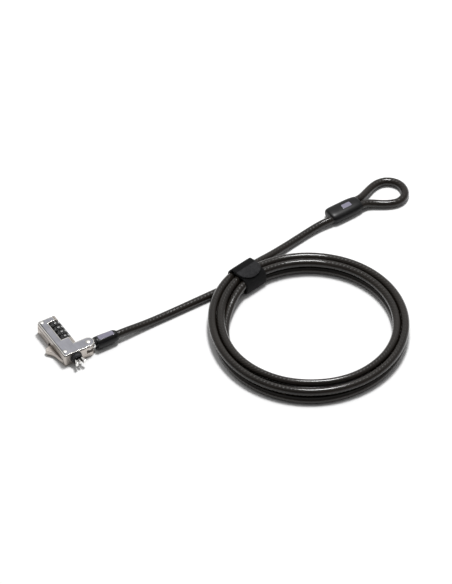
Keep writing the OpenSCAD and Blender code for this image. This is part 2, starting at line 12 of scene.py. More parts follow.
import bmesh
import bpy
import numpy as np
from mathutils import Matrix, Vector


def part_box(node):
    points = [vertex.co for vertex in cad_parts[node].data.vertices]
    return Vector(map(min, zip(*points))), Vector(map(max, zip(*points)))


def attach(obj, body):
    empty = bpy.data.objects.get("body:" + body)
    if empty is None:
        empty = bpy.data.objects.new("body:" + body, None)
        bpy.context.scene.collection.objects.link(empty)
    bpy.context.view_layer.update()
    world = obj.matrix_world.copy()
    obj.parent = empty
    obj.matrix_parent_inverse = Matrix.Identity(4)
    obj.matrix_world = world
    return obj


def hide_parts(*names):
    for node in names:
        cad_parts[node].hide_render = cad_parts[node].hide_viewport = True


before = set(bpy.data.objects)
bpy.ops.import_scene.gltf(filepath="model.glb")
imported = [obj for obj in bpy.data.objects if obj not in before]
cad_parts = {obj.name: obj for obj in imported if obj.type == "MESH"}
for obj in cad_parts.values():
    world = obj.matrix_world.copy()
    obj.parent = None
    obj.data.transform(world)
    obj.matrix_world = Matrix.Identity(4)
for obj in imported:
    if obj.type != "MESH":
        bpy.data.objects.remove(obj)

MM = 0.001
# Where a node's edges stay sharp because nothing shows there: boxes by their spans along x, y and z, in mm
INNER_BAYS = {"housing": (((-4.6, 4.7), (9.0, 32.0), (0.2, 8.7)), ((3.8, 5.6), (4.0, 4.6), (-0.1, 1.3))),
              "release_lever": (((-5.6, 1.5), (-2.0, 5.0), (0.0, 9.0)),)}
# Corners of a merged copy nearer than this are one, in mm, and faces that turn by less are joined, in degrees
WELD = 0.02
FLAT = 0.6
log = logging.getLogger("cable_lock")
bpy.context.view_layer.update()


# ---- Shader maths ----


class Field:
    """A shader socket that Python's operators work on, each adding its Math node."""

    def __init__(self, net: "Net", socket: bpy.types.NodeSocket) -> None:
        """Wraps one output.

        Args:
            net: the material's nodes.
            socket: the output that this field stands for.
        """
        self.net = net
        self.socket = socket

    def _math(self, operation: str, *values: "Field | float") -> "Field":
        """Adds one Math node and returns its output."""
        return self.net.node("ShaderNodeMath", {"operation": operation}, dict(enumerate(values)))

    def __add__(self, other: "Field | float") -> "Field":
        """self + other."""
        return self._math("ADD", self, other)

    def __radd__(self, other: float) -> "Field":
        """other + self."""
        return self._math("ADD", other, self)

    def __sub__(self, other: "Field | float") -> "Field":
        """self - other."""
        return self._math("SUBTRACT", self, other)

    def __rsub__(self, other: float) -> "Field":
        """other - self."""
        return self._math("SUBTRACT", other, self)

    def __mul__(self, other: "Field | float") -> "Field":
        """self * other."""
        return self._math("MULTIPLY", self, other)

    def __rmul__(self, other: float) -> "Field":
        """other * self."""
        return self._math("MULTIPLY", other, self)

    def __pow__(self, other: "Field | float") -> "Field":
        """self to the power of other."""
        return self._math("POWER", self, other)

    def __abs__(self) -> "Field":
        """Size of self without its sign."""
        return self._math("ABSOLUTE", self)

    def sine(self) -> "Field":
        """Sine of self, in radians."""
        return self._math("SINE", self)

    def clamped(self) -> "Field":
        """self kept between 0 and 1."""
        return self._math("MINIMUM", self._math("MAXIMUM", self, 0.0), 1.0)


class Net:
    """The nodes of one material or of the world."""

    def __init__(self, owner: bpy.types.Material | bpy.types.World) -> None:
        """Empties the owner's nodes.

        Args:
            owner: the material or the world.
        """
        owner.use_nodes = True
        self.owner = owner
        self.tree = owner.node_tree
        self.tree.nodes.clear()

    @classmethod
    def painted(cls, name: str) -> "Net":
        """The nodes of a new material with that name."""
        return cls(bpy.data.materials.new(name))

    def node(self, kind: str, settings: dict | None = None, sockets: dict | None = None,
             out: int | str = 0) -> "Field | None":
        """Adds a node.

        Args:
            kind: Blender's type of node.
            settings: its properties, set first; "stops" holds a ramp's places and grey values.
            sockets: a value or a Field for each input, by name or number.
            out: the output that is wanted.

        Returns:
            That output as a Field; None for a node without outputs.
        """
        made = self.tree.nodes.new(kind)
        for key, value in (settings or {}).items():
            if key == "stops":
                ramp = made.color_ramp.elements
                for place, grey in value[2:]:
                    ramp.new(place)
                for stop, (place, grey) in zip(ramp, value):
                    stop.position = place
                    stop.color = (grey, grey, grey, 1.0)
            else:
                setattr(made, key, value)
        for key, value in (sockets or {}).items():
            if isinstance(value, Field):
                self.tree.links.new(value.socket, made.inputs[key])
            else:
                made.inputs[key].default_value = value
        return Field(self, made.outputs[out]) if made.outputs else None

    def place(self, scale: tuple[float, float, float], source: str = "Object") -> Field:
        """A texture place, scaled along each axis.

        Args:
            scale: repeats per metre along x, y and z.
            source: the output of Texture Coordinate that is read.

        Returns:
            The scaled coordinate.
        """
        start = self.node("ShaderNodeTexCoord", out=source)
        return self.node("ShaderNodeMapping", {}, {"Vector": start, "Scale": scale})

    def noise(self, scale: tuple[float, float, float], detail: float = 3.0,
              source: str = "Object") -> Field:
        """Noise from 0 to 1 whose grains have the given repeats per metre.

        Args:
            scale: repeats per metre along x, y and z.
            detail: how many finer layers are added.
            source: the coordinate that is read.

        Returns:
            The noise.
        """
        return self.node("ShaderNodeTexNoise", {},
                         {"Vector": self.place(scale, source), "Scale": 1.0, "Detail": detail})

    def cells(self, repeats: float) -> Field:
        """Distance from the middle of the nearest cell, 0 to about 1, with repeats per metre."""
        place = self.place((repeats, repeats, repeats))
        return self.node("ShaderNodeTexVoronoi", {}, {"Vector": place, "Scale": 1.0})

    def mix(self, share: "Field | float", low: tuple, high: "tuple | Field") -> Field:
        """A colour between two.

        Args:
            share: 0 gives low, 1 gives high.
            low: linear red, green and blue.
            high: linear red, green and blue, or a colour that varies.

        Returns:
            The mixed colour.
        """
        top = high if isinstance(high, Field) else (*high, 1.0)
        return self.node("ShaderNodeMix", {"data_type": "RGBA"}, {0: share, 6: (*low, 1.0), 7: top}, out=2)

    def bump(self, height: Field, strength: float, distance: float) -> Field:
        """A normal that height dents.

        Args:
            height: 0 to 1.
            strength: Blender's bump strength.
            distance: depth of the relief, in metres.

        Returns:
            The normal.
        """
        return self.node("ShaderNodeBump", {},
                         {"Height": height, "Strength": strength, "Distance": distance})

    def finish(self, **sockets: object) -> bpy.types.Material:
        """Closes the material with one Principled shader.

        Args:
            sockets: its inputs, with _ for a space in the name.

        Returns:
            The material.
        """
        named = {key.replace("_", " "): value for key, value in sockets.items()}
        shader = self.node("ShaderNodeBsdfPrincipled", {}, named)
        self.node("ShaderNodeOutputMaterial", {}, {"Surface": shader})
        return self.owner


# ---- Finishes ----


@dataclass(frozen=True)
class Metal:
    """Bare or plated metal with grain, smudges and fine scratches."""

    name: str
    colour: tuple[float, float, float]
    rough: float
    grain: tuple[float, float, float] = (2600.0, 2600.0, 2600.0)
    grain_depth: float = 0.006
    shade: float = 0.12
    dark_below: float | None = None
    dark: tuple[float, float, float] = (0.012, 0.011, 0.011)
    fade: float = 0.08
    smudge_scale: float = 170.0
    grain_rough: float = 0.14
    smudge_rough: float = 0.12
    relief: float = 0.35

    def material(self) -> bpy.types.Material:
        """Colour and roughness vary with the grain and with broad smudges.

        Below a given height, in mm, the metal is painted dark as painted shade, standing for the shadow in
        the seam under the cover's top edge, and its own colour fades in over the next stretch.

        Returns:
            The material.
        """
        net = Net.painted(self.name)
        grain = net.noise(self.grain)
        smudge = net.noise((self.smudge_scale,) * 3, 2.0)
        tone = (grain * 0.6 + smudge * 0.4).clamped()
        low = tuple(c * (1 - self.shade) for c in self.colour)
        high = tuple(min(1.0, c * (1 + self.shade)) for c in self.colour)
        middle = (self.grain_rough + self.smudge_rough) / 2
        rough = grain * self.grain_rough + smudge * self.smudge_rough + (self.rough - middle)
        colour = net.mix(tone, low, high)
        # Painted shade: under the given height the colour goes dark, for the shadow in the seam under the
        # cover.
        if self.dark_below is not None:
            place = net.node("ShaderNodeTexCoord", out="Object")
            height = net.node("ShaderNodeSeparateXYZ", {}, {0: place}, out="Z")
            unshaded = ((height - self.dark_below * MM) * (1 / (self.fade * MM))).clamped()
            colour = net.mix(unshaded, self.dark, colour)
        return net.finish(Base_Color=colour, Metallic=1.0, Roughness=rough.clamped(),
                          Normal=net.bump(grain, self.relief, self.grain_depth * MM))


@dataclass(frozen=True)
class Moulding:
    """Moulded plastic or rubber with a spark-eroded grain."""

    name: str
    colour: tuple[float, float, float]
    rough: float
    grain: float = 3200.0
    depth: float = 0.012
    coat: float = 0.0
    ior: float = 1.33
    shade: float = 1.25
    wear_scale: float = 240.0
    wear_rough: float = 0.16
    cell_rough: float = 0.06
    coat_rough: float = 0.1
    relief: float = 0.25

    def material(self) -> bpy.types.Material:
        """Fine cells roughen the surface, and handling leaves broad duller patches.

        Wear and cells together add a tenth to the roughness on average, which is taken off first.

        Returns:
            The material.
        """
        net = Net.painted(self.name)
        cells = net.cells(self.grain)
        wear = net.noise((self.wear_scale,) * 3, 4.0)
        low = tuple(c / self.shade for c in self.colour)
        high = tuple(c * self.shade for c in self.colour)
        rough = wear * self.wear_rough + cells * self.cell_rough + (self.rough - 0.1)
        return net.finish(Base_Color=net.mix(wear, low, high), Roughness=rough.clamped(), IOR=self.ior,
                          Coat_Weight=self.coat, Coat_Roughness=self.coat_rough,
                          Normal=net.bump(cells, self.relief, self.depth * MM))


@dataclass(frozen=True)
class SmokedSheath:
    """Smoky clear sheath over a steel rope, whose strands show as slanting lines."""

    name: str = "smoked_sheath"
    strands: int = 9
    lay: float = 2.7
    wires: int = 21
    wire_lay: float = 1.1
    dark: tuple[float, float, float] = (0.0006, 0.0005, 0.0005)
    light: tuple[float, float, float] = (0.024, 0.019, 0.015)
    depth: float = 0.2

    def material(self) -> bpy.types.Material:
        """Reads the cable's own UV map: u once round it, v in metres along it.

        A strand's line is |sin| of half of 2 pi (strands u + v / lay), and the wires in it lie the other way.

        Returns:
            The material.
        """
        net = Net.painted(self.name)
        uv = net.node("ShaderNodeUVMap", {"uv_map": "UVMap"})
        u = net.node("ShaderNodeSeparateXYZ", {}, {0: uv})
        v = net.node("ShaderNodeSeparateXYZ", {}, {0: uv}, out=1)
        wander = net.noise((3.0, 260.0, 1.0), 2.0, "UV")
        along = v * (math.pi / (self.lay * MM))
        strand = abs((u * (math.pi * self.strands) + along + wander * 0.7).sine())
        wire = abs((v * (math.pi / (self.wire_lay * MM)) - u * (math.pi * self.wires)).sine())
        ridge = (strand ** 0.8 * 0.75 + wire * 0.25).clamped()
        patch = net.noise((2.0, 34.0, 1.0), 3.0, "UV")
        tone = (ridge * (patch * 0.9 + 0.35)).clamped()
        rough = (0.32 - ridge * 0.12 + patch * 0.08).clamped()
        return net.finish(Base_Color=net.mix(tone, self.dark, self.light), IOR=1.22, Roughness=rough,
                          Coat_Weight=0.8, Coat_Roughness=0.09, Coat_IOR=1.38,
                          Normal=net.bump(ridge, 0.6, self.depth * MM))


@dataclass(frozen=True)
class HookLoop:
    """Brushed loop fabric of a hook-and-loop tie."""

    name: str = "loop_fabric"
    light: float = 1.0
    ground: tuple[float, float, float] = (0.009, 0.009, 0.0095)
    raised: tuple[float, float, float] = (0.052, 0.052, 0.055)
    depth: float = 0.12

    def material(self) -> bpy.types.Material:
        """Short fuzz over a woven ground, lighter where the loops stand up.

        Returns:
            The material.
        """
        net = Net.painted(self.name)
        fuzz = net.noise((2300.0,) * 3, 6.0)
        loops = net.cells(1500.0)
        cloud = net.noise((300.0,) * 3, 2.0)
        tone = (fuzz * 0.9 + cloud * 0.5 - loops * 0.35 - 0.2).clamped()
        low, high = (tuple(c * self.light for c in colour) for colour in (self.ground, self.raised))
        pile = (fuzz * 0.6 + loops * 0.5).clamped()
        return net.finish(Base_Color=net.mix(tone, low, high), Roughness=0.96, IOR=1.25,
                          Sheen_Weight=0.08, Sheen_Roughness=0.5, Normal=net.bump(pile, 0.8, self.depth * MM))


class Finish(Enum):
    """The finishes on the lock."""

    SATIN_NICKEL = Metal("satin_nickel", (0.5, 0.46, 0.425), 0.34, shade=0.07)
    BRUSHED_COVER = Metal("brushed_cover", (0.25, 0.25, 0.272), 0.36, (9000.0, 140.0, 9000.0), 0.01, 0.22)
    # The rim is painted dark below 9.42 mm: painted shade on the cover's sides, in the seam over the housing.
    COVER_RIM = Metal("cover_rim", (0.74, 0.72, 0.69), 0.24, shade=0.06, dark_below=9.42)
    # Near-black walls of the cover's shallow groove: painted shade in the groove.
    GROOVE = Metal("rim_groove_painted_shade", (0.1, 0.1, 0.1), 0.4)
    BRIGHT = Metal("bright_plate", (0.83, 0.82, 0.8), 0.2, (1900.0, 1900.0, 1900.0), 0.003, 0.05)
    RIVET = Metal("rivet_plate", (0.5, 0.49, 0.475), 0.42, shade=0.08)
    STEEL = Metal("inner_steel", (0.42, 0.42, 0.42), 0.4, (900.0, 5200.0, 900.0), 0.008, 0.15)
    DIAL_BLACK = Moulding("dial_black", (0.005, 0.005, 0.005), 0.24, 2600.0, 0.004, 0.5, 1.45)
    MOULDED = Moulding("moulded_black", (0.005, 0.005, 0.0052), 0.36)
    RUBBER = Moulding("bumper_rubber", (0.026, 0.026, 0.028), 0.55, 2600.0, 0.02)
    DIGIT = Moulding("digit_paint", (0.78, 0.78, 0.76), 0.45, 4200.0, 0.003)
    PANEL = Moulding("lilac_panel", (0.2, 0.19, 0.25), 0.2, 2000.0, 0.002, 0.8, 1.45)
    SHEATH = SmokedSheath()
    STRAP = HookLoop()
    # Painted shade: the wrap under and beside the tongue is the same loop fabric at 0.16 of its brightness.
    STRAP_BACK = HookLoop("hook_side", 0.16)

    def __init__(self, maker: object) -> None:
        """Keeps the maker; the material is made once, when it is first used."""
        self.maker = maker
        self.made: bpy.types.Material | None = None

    def material(self) -> bpy.types.Material:
        """The finish's material."""
        if self.made is None:
            self.made = self.maker.material()
        return self.made


def dress(piece: bpy.types.Object, *finishes: Finish) -> None:
    """Gives a piece its finishes; the first takes the place of those it has.

    Args:
        piece: the object.
        finishes: one for each material number of its faces.
    """
    for number, finish in enumerate(finishes):
        if number < len(piece.data.materials):
            piece.data.materials[number] = finish.material()
        else:
            piece.data.materials.append(finish.material())


# ---- Meshes ----


def add_piece(name: str, points: np.ndarray, faces: np.ndarray,
              uv: np.ndarray | None = None) -> bpy.types.Object:
    """Puts whole arrays into a new mesh object.

    Args:
        name: the piece's name.
        points: (n, 3) places in metres.
        faces: (m, k) corner numbers, the same number of corners each.
        uv: (m * k, 2) texture places of the corners.

    Returns:
        The object, at the origin.
    """
    mesh = bpy.data.meshes.new(name)
    mesh.vertices.add(len(points))
    mesh.vertices.foreach_set("co", points.astype(np.float32).ravel())
    count, corners = faces.shape
    mesh.loops.add(count * corners)
    mesh.loops.foreach_set("vertex_index", faces.astype(np.int32).ravel())
    mesh.polygons.add(count)
    mesh.polygons.foreach_set("loop_start", np.arange(0, count * corners, corners, dtype=np.int32))
    mesh.polygons.foreach_set("use_smooth", np.ones(count, bool))
    if uv is not None:
        mesh.uv_layers.new(name="UVMap").data.foreach_set("uv", uv.astype(np.float32).ravel())
    mesh.update(calc_edges=True)
    mesh.validate()
    piece = bpy.data.objects.new(name, mesh)
    bpy.context.scene.collection.objects.link(piece)
    return piece


def grid_faces(rows: int, columns: int, closed: bool) -> np.ndarray:
    """Corner numbers of the quads of a grid, row by row.

    Args:
        rows: points along the grid.
        columns: points across it.
        closed: whether the last column joins the first.

    Returns:
        (m, 4) corner numbers, which face outwards when the columns run anticlockwise seen from the end.
    """
    i, j = np.meshgrid(np.arange(rows - 1), np.arange(columns if closed else columns - 1), indexing="ij")
    k = (j + 1) % columns
    here, ahead = i * columns, (i + 1) * columns
    return np.stack([here + j, here + k, ahead + k, ahead + j], -1).reshape(-1, 4)


def ring_lid(ring: np.ndarray, middle: int) -> np.ndarray:
    """Triangles from a ring's corners to a middle point.

    Args:
        ring: corner numbers round the ring.
        middle: the middle's number.

    Returns:
        (n, 3) corner numbers, which face the side that the ring runs anticlockwise on.
    """
    return np.stack([ring, np.roll(ring, -1), np.full(len(ring), middle)], 1)


def halved(quads: np.ndarray) -> np.ndarray:
    """Both triangles of each quad: (m, 4) values at the corners become (2 m, 3)."""
    return np.vstack([quads[:, [0, 1, 2]], quads[:, [0, 2, 3]]])


def smooth_path(points: np.ndarray, step: float) -> np.ndarray:
    """A centripetal Catmull-Rom curve through the points, at even steps.

    Args:
        points: (n, 3) places that the curve passes through.
        step: distance from point to point of the result.

    Returns:
        (m, 3) places.
    """
    p = np.vstack([2 * points[0] - points[1], points, 2 * points[-1] - points[-2]])
    a, b, c, d = p[:-3], p[1:-2], p[2:-1], p[3:]
    spans = [np.linalg.norm(y - x, axis=1) ** 0.5 for x, y in ((a, b), (b, c), (c, d))]
    knots = np.cumsum(np.stack([np.zeros(len(a))] + spans), axis=0)[..., None]
    share = np.linspace(0, 1, 17)[:-1]
    t = knots[1][:, None] + (knots[2] - knots[1])[:, None] * share[None, :, None]
    k0, k1, k2, k3 = (k[:, None] for k in knots)
    a, b, c, d = (x[:, None] for x in (a, b, c, d))
    a1 = (k1 - t) / (k1 - k0) * a + (t - k0) / (k1 - k0) * b
    a2 = (k2 - t) / (k2 - k1) * b + (t - k1) / (k2 - k1) * c
    a3 = (k3 - t) / (k3 - k2) * c + (t - k2) / (k3 - k2) * d
    b1 = (k2 - t) / (k2 - k0) * a1 + (t - k0) / (k2 - k0) * a2
    b2 = (k3 - t) / (k3 - k1) * a2 + (t - k1) / (k3 - k1) * a3
    dense = np.vstack([((k2 - t) / (k2 - k1) * b1 + (t - k1) / (k2 - k1) * b2).reshape(-1, 3), points[-1:]])
    gone = np.r_[0, np.cumsum(np.linalg.norm(np.diff(dense, axis=0), axis=1))]
    even = np.linspace(0, gone[-1], max(2, int(round(gone[-1] / step)) + 1))
    return np.stack([np.interp(even, gone, dense[:, k]) for k in range(3)], 1)


def tube(name: str, path: np.ndarray, radius: float, sides: int) -> bpy.types.Object:
    """A round tube along a path, closed at both ends.

    Each ring lies in the plane across the path, turned so that its first side axis stays level.

    Args:
        name: the piece's name.
        path: (n, 3) places in metres.
        radius: in metres.
        sides: points round each ring.

    Returns:
        The tube, with u round it and v in metres along it.
    """
    ahead = np.gradient(path, axis=0)
    ahead /= np.linalg.norm(ahead, axis=1)[:, None]
    side = np.cross([0.0, 0.0, 1.0], ahead)
    side /= np.linalg.norm(side, axis=1)[:, None]
    up = np.cross(ahead, side)
    turn = 2 * np.pi * np.arange(sides) / sides
    rings = path[:, None] + radius * (np.cos(turn)[None, :, None] * side[:, None]
                                      + np.sin(turn)[None, :, None] * up[:, None])
    faces = grid_faces(len(path), sides, True)[:, ::-1]
    gone = np.r_[0, np.cumsum(np.linalg.norm(np.diff(path, axis=0), axis=1))]
    row, column = faces // sides, faces % sides
    wrapped = np.where((column == 0) & (column.max(axis=1, keepdims=True) == sides - 1), sides, column)
    points = np.vstack([rings.reshape(-1, 3), path[:1], path[-1:]])
    count, ring = len(path) * sides, np.arange(sides)
    caps = np.vstack([ring_lid(ring, count)[:, ::-1], ring_lid(count - sides + ring, count + 1)])
    blank = np.zeros((len(caps), 3))
    u = np.vstack([halved(wrapped / sides), blank])
    v = np.vstack([halved(gone[row]), blank])
    return add_piece(name, points, np.vstack([halved(faces), caps]), np.stack([u, v], -1).reshape(-1, 2))


def in_bay(node: str, place: Vector) -> bool:
    """Whether a place, in metres, lies in one of the node's bays that nothing shows."""
    bays = INNER_BAYS.get(node, ())
    return any(all(a * MM < m < b * MM for m, (a, b) in zip(place, bay)) for bay in bays)


def softened(node: str, width: float, segments: int = 3, limit: float = 28.0,
             shape_it: Callable[[bmesh.types.BMesh], None] | None = None) -> bpy.types.Object:
    """A merged copy of a CAD node with its edges rounded, which stands for the node.

    Args:
        node: the CAD node.
        width: radius of the rounding, in mm.
        segments: faces across the rounding.
        limit: edges that turn by less than this, in degrees, stay as they are.
        shape_it: changes the merged copy before its edges are rounded.

    Returns:
        The copy.
    """
    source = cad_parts[node].data
    source.calc_loop_triangles()
    points = np.zeros(len(source.vertices) * 3, np.float32)
    corners = np.zeros(len(source.loop_triangles) * 3, np.int32)
    source.vertices.foreach_get("co", points)
    source.loop_triangles.foreach_get("vertices", corners)
    piece = add_piece(f"{node}_body", points.reshape(-1, 3), corners.reshape(-1, 3))
    shape = bmesh.new()
    shape.from_mesh(piece.data)
    bmesh.ops.remove_doubles(shape, verts=shape.verts, dist=WELD * MM)
    bmesh.ops.dissolve_limit(shape, angle_limit=math.radians(FLAT), verts=shape.verts, edges=shape.edges)
    if shape_it:
        shape_it(shape)
    weight = shape.edges.layers.float.new("bevel_weight_edge")
    for edge in shape.edges:
        middle = (edge.verts[0].co + edge.verts[1].co) / 2
        edge[weight] = float(not in_bay(node, middle) and edge.calc_face_angle(0.0) > math.radians(limit))
    shape.to_mesh(piece.data)
    shape.free()
    piece.data.polygons.foreach_set("use_smooth", np.ones(len(piece.data.polygons), bool))
    bevel = piece.modifiers.new("rounding", "BEVEL")
    bevel.width = width * MM
    bevel.segments = segments
    bevel.limit_method = "WEIGHT"
    bevel.use_clamp_overlap = False
    bevel.harden_normals = True
    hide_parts(node)
    return piece


def rounded_pad(name: str, centre: np.ndarray, along: np.ndarray, across: np.ndarray,
                half: tuple[float, float], corner: float, height: float) -> bpy.types.Object:
    """A low pad with a rounded-rectangle outline and a soft upper edge.

    Ring k of the grid is the outline shrunk by an inset and lifted by a height. The last ring closes to a
    point.

    Args:
        name: the piece's name.
        centre: middle of its foot, in mm.
        along: unit vector of its length.
        across: unit vector of its width.
        half: half its length and half its width, in mm.
        corner: radius of the outline's corners, in mm.
        height: in mm.

    Returns:
        The pad.
    """
    sides = 64
    turn = 2 * np.pi * (np.arange(sides) + 0.5) / sides
    insets = np.array([0.0, 0.0, 0.25, 0.7, 1.0]) * height
    lifts = np.array([-0.2, 0.45, 0.85, 1.0, 1.0]) * height
    radius = corner - insets[:, None]
    x = np.sign(np.cos(turn)) * (half[0] - corner) + radius * np.cos(turn)
    y = np.sign(np.sin(turn)) * (half[1] - corner) + radius * np.sin(turn)
    up = np.cross(along, across)
    rings = centre + x[..., None] * along + y[..., None] * across + lifts[:, None, None] * up
    points = np.vstack([rings.reshape(-1, 3), centre + lifts[-1] * up, centre + lifts[0] * up]) * MM
    count, ring = len(insets) * sides, np.arange(sides)
    top = ring_lid(count - sides + ring, count)
    foot = ring_lid(ring, count + 1)[:, ::-1]
    return add_piece(name, points, np.vstack([halved(grid_faces(len(insets), sides, True)), top, foot]))


# ---- The cable ----


@dataclass(frozen=True)
class Strap:
    """The tie: one strip wound once round the bundle, with its round tongue lying on top."""

    width: float = 17.0
    thickness: float = 1.1
    tongue: float = 6.0
    inner: float = 53.55
    outer: float = 71.95
    low: float = 0.8
    high: float = 12.82
    lean: float = 0.16
    lean_rate: float = 0.33
    edge: float = 0.3
    step: float = 0.55
    columns: int = 25
    # Distance from the coil's centre, on top, in mm, where the wrap painted darker as painted shade gives way
    # to the tongue's loop fabric.
    hook_side_to: float = 64.0

    def outline(self) -> np.ndarray:
        """The way of the strip round the bundle.

        Returns:
            (n, 2) distances from the coil's centre and heights, about half a millimetre apart.
        """
        near, far, low, high = self.inner, self.outer, self.low, self.high
        stops = np.array([(66.5, high - 0.1), (60.0, high), (56.2, high - 0.35), (near + 0.6, high - 1.7),
                          (near, high - 4.4), (near + 0.1, 4.0), (near + 1.1, low + 0.7), (57.2, low),
                          (63.0, low), (68.2, low), (far - 0.9, low + 0.8), (far - 0.1, 3.8),
                          (far, high - 5.2), (far - 1.1, high - 2.0), (68.7, high + 0.5),
                          (65.5, high + 1.12), (61.5, high + 1.25), (58.4, high + 1.2),
                          (56.2, high + 0.95), (54.6, high + 0.35)])
        return smooth_path(np.column_stack([stops, np.zeros(len(stops))]), self.step)[:, :2]

    def build(self, centre: tuple[float, float], angle: float) -> bpy.types.Object:
        """Makes the strip as a surface of two parameters.

        They are the way round the bundle, in the plane across the cable, and the way across the strip. The
        tongue's half width is that of the strip times sqrt(1 - t^2), with t going from 0 to its tip, and the
        strip's sides lean by a sine of the way round.

        Args:
            centre: the coil's centre, in mm.
            angle: where the strap lies round the coil, in degrees.

        Returns:
            The strap.
        """
        line = self.outline()
        gone = np.r_[0, np.cumsum(np.linalg.norm(np.diff(line, axis=0), axis=1))]
        reach = np.clip(1 - (gone[-1] - gone) / self.tongue, 0, 0.995)
        half = self.width / 2 * np.sqrt(1 - reach ** 2)
        across = np.linspace(-1, 1, self.columns)
        lean = self.lean * np.sin(gone * self.lean_rate) * np.abs(across[:, None]) ** 3
        w = half[:, None] * across[None, :]
        r = line[:, :1] + 0 * w
        z = line[:, 1:] + lean.T
        a = math.radians(angle)
        x = centre[0] + r * math.cos(a) + w * math.sin(a)
        y = centre[1] + r * math.sin(a) - w * math.cos(a)
        faces = grid_faces(len(line), self.columns, False)
        strap = add_piece("hook_loop_strap", np.stack([x, y, z], -1).reshape(-1, 3) * MM, faces)
        solid = strap.modifiers.new("thickness", "SOLIDIFY")
        solid.thickness = self.thickness * MM
        solid.offset = 0.0
        solid.use_even_offset = True
        edge = strap.modifiers.new("edge", "BEVEL")
        edge.width = self.edge * MM
        edge.segments = 2
        edge.angle_limit = math.radians(50)
        dress(strap, Finish.STRAP, Finish.STRAP_BACK)
        # Faces before the tongue's start take the darker finish: painted shade on the wrap under and beside
        # the tongue.
        on_top = gone >= 0.6 * gone[-1]
        flap = np.argmin(np.where(on_top, np.abs(line[:, 0] - self.hook_side_to), np.inf))
        hook_side = faces[:, 0] // self.columns < flap
        strap.data.polygons.foreach_set("material_index", hook_side.astype(np.int32))
        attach(strap, "cable")
        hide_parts("cable_strap")
        return strap


@dataclass(frozen=True)
class EyeSleeve:
    """The moulded oval sleeve that closes the eye, with a blank pad on its face."""

    start: tuple[float, float, float] = (212.0, 25.0, 4.0)
    angle: float = 4.0
    length: float = 24.5
    half_width: float = 6.75
    half_height: float = 3.95
    squareness: float = 0.84
    sides: int = 56
    # Way along the sleeve and its share of the full section there
    sections: tuple = ((0.0, 0.62), (0.25, 0.76), (0.8, 0.87), (1.8, 0.945), (3.2, 0.985), (5.0, 1.0),
                       (9.0, 1.0), (14.0, 1.0), (18.0, 0.985), (20.5, 0.95), (22.3, 0.91), (23.5, 0.87),
                       (24.2, 0.8), (24.5, 0.68))
    pad_place: tuple[float, float, float] = (14.0, -0.3, 3.86)
    pad_half: tuple[float, float] = (3.4, 1.9)

    def place(self, along: float, across: float) -> tuple[float, float, float]:
        """A place, or an array of them, in the sleeve's frame, in mm."""
        a = math.radians(self.angle)
        x, y, z = self.start
        return (x + along * math.cos(a) - across * math.sin(a),
                y + along * math.sin(a) + across * math.cos(a), z)

    def build(self) -> list[bpy.types.Object]:
        """Makes the sleeve as a rounded oval that is carried along its axis and shrinks towards both ends.

        The oval's half axes are each times a sine or cosine to the power of the squareness, and its height
        shrinks by three quarters of what its width does.

        Returns:
            The sleeve and its pad.
        """
        along, fade = np.array(self.sections).T[..., None]
        turn = 2 * np.pi * np.arange(self.sides) / self.sides
        wide, tall = (half * np.sign(wave) * np.abs(wave) ** self.squareness
                      for half, wave in ((self.half_width, np.cos(turn)), (self.half_height, np.sin(turn))))
        x, y, z = self.place(along, wide * fade)
        rings = np.stack([x, y, z + tall * (0.25 + 0.75 * fade)], -1).reshape(-1, 3)
        ends = [self.place(0.0, 0.0), self.place(self.length, 0.0)]
        ring, count = np.arange(self.sides), len(rings)
        lids = [ring_lid(ring, count)[:, ::-1], ring_lid(count - self.sides + ring, count + 1)]
        quads = grid_faces(len(self.sections), self.sides, True)
        points, faces = np.vstack([rings, ends]) * MM, np.vstack([halved(quads), *lids])
        sleeve = add_piece("eye_sleeve_body", points, faces)
        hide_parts("eye_sleeve")
        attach(sleeve, "cable")
        dress(sleeve, Finish.MOULDED)
        a = math.radians(self.angle)
        ahead, aside, lift = self.pad_place
        foot = np.array(self.place(ahead, aside)) + [0, 0, lift]
        pad = rounded_pad("sleeve_pad", foot, np.array([math.cos(a), math.sin(a), 0.0]),
                          np.array([-math.sin(a), math.cos(a), 0.0]), self.pad_half, 0.8, 0.16)
        dress(pad, Finish.PANEL)
        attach(pad, "cable")
        return [sleeve, pad]


@dataclass(frozen=True)
class Ferrule:
    """The moulded ferrule with a blank glossy panel on its flat."""

    rounding: float = 0.3
    panel_z: float = 9.0
    panel_shift: float = -0.2
    panel_half: tuple[float, float] = (5.7, 1.95)

    def build(self) -> list[bpy.types.Object]:
        """Makes the ferrule and its panel.

        Returns:
            The ferrule and its panel.
        """
        ferrule = softened("ferrule", self.rounding, 3)
        dress(ferrule, Finish.MOULDED)
        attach(ferrule, "cable")
        low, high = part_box("ferrule")
        middle = np.array([(low.x + high.x) / 2 / MM + self.panel_shift, 0.0, self.panel_z])
        panel = rounded_pad("ferrule_panel", middle, np.array([1.0, 0.0, 0.0]), np.array([0.0, 1.0, 0.0]),
                            self.panel_half, 0.8, 0.22)
        dress(panel, Finish.PANEL)
        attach(panel, "cable")
        return [ferrule, panel]


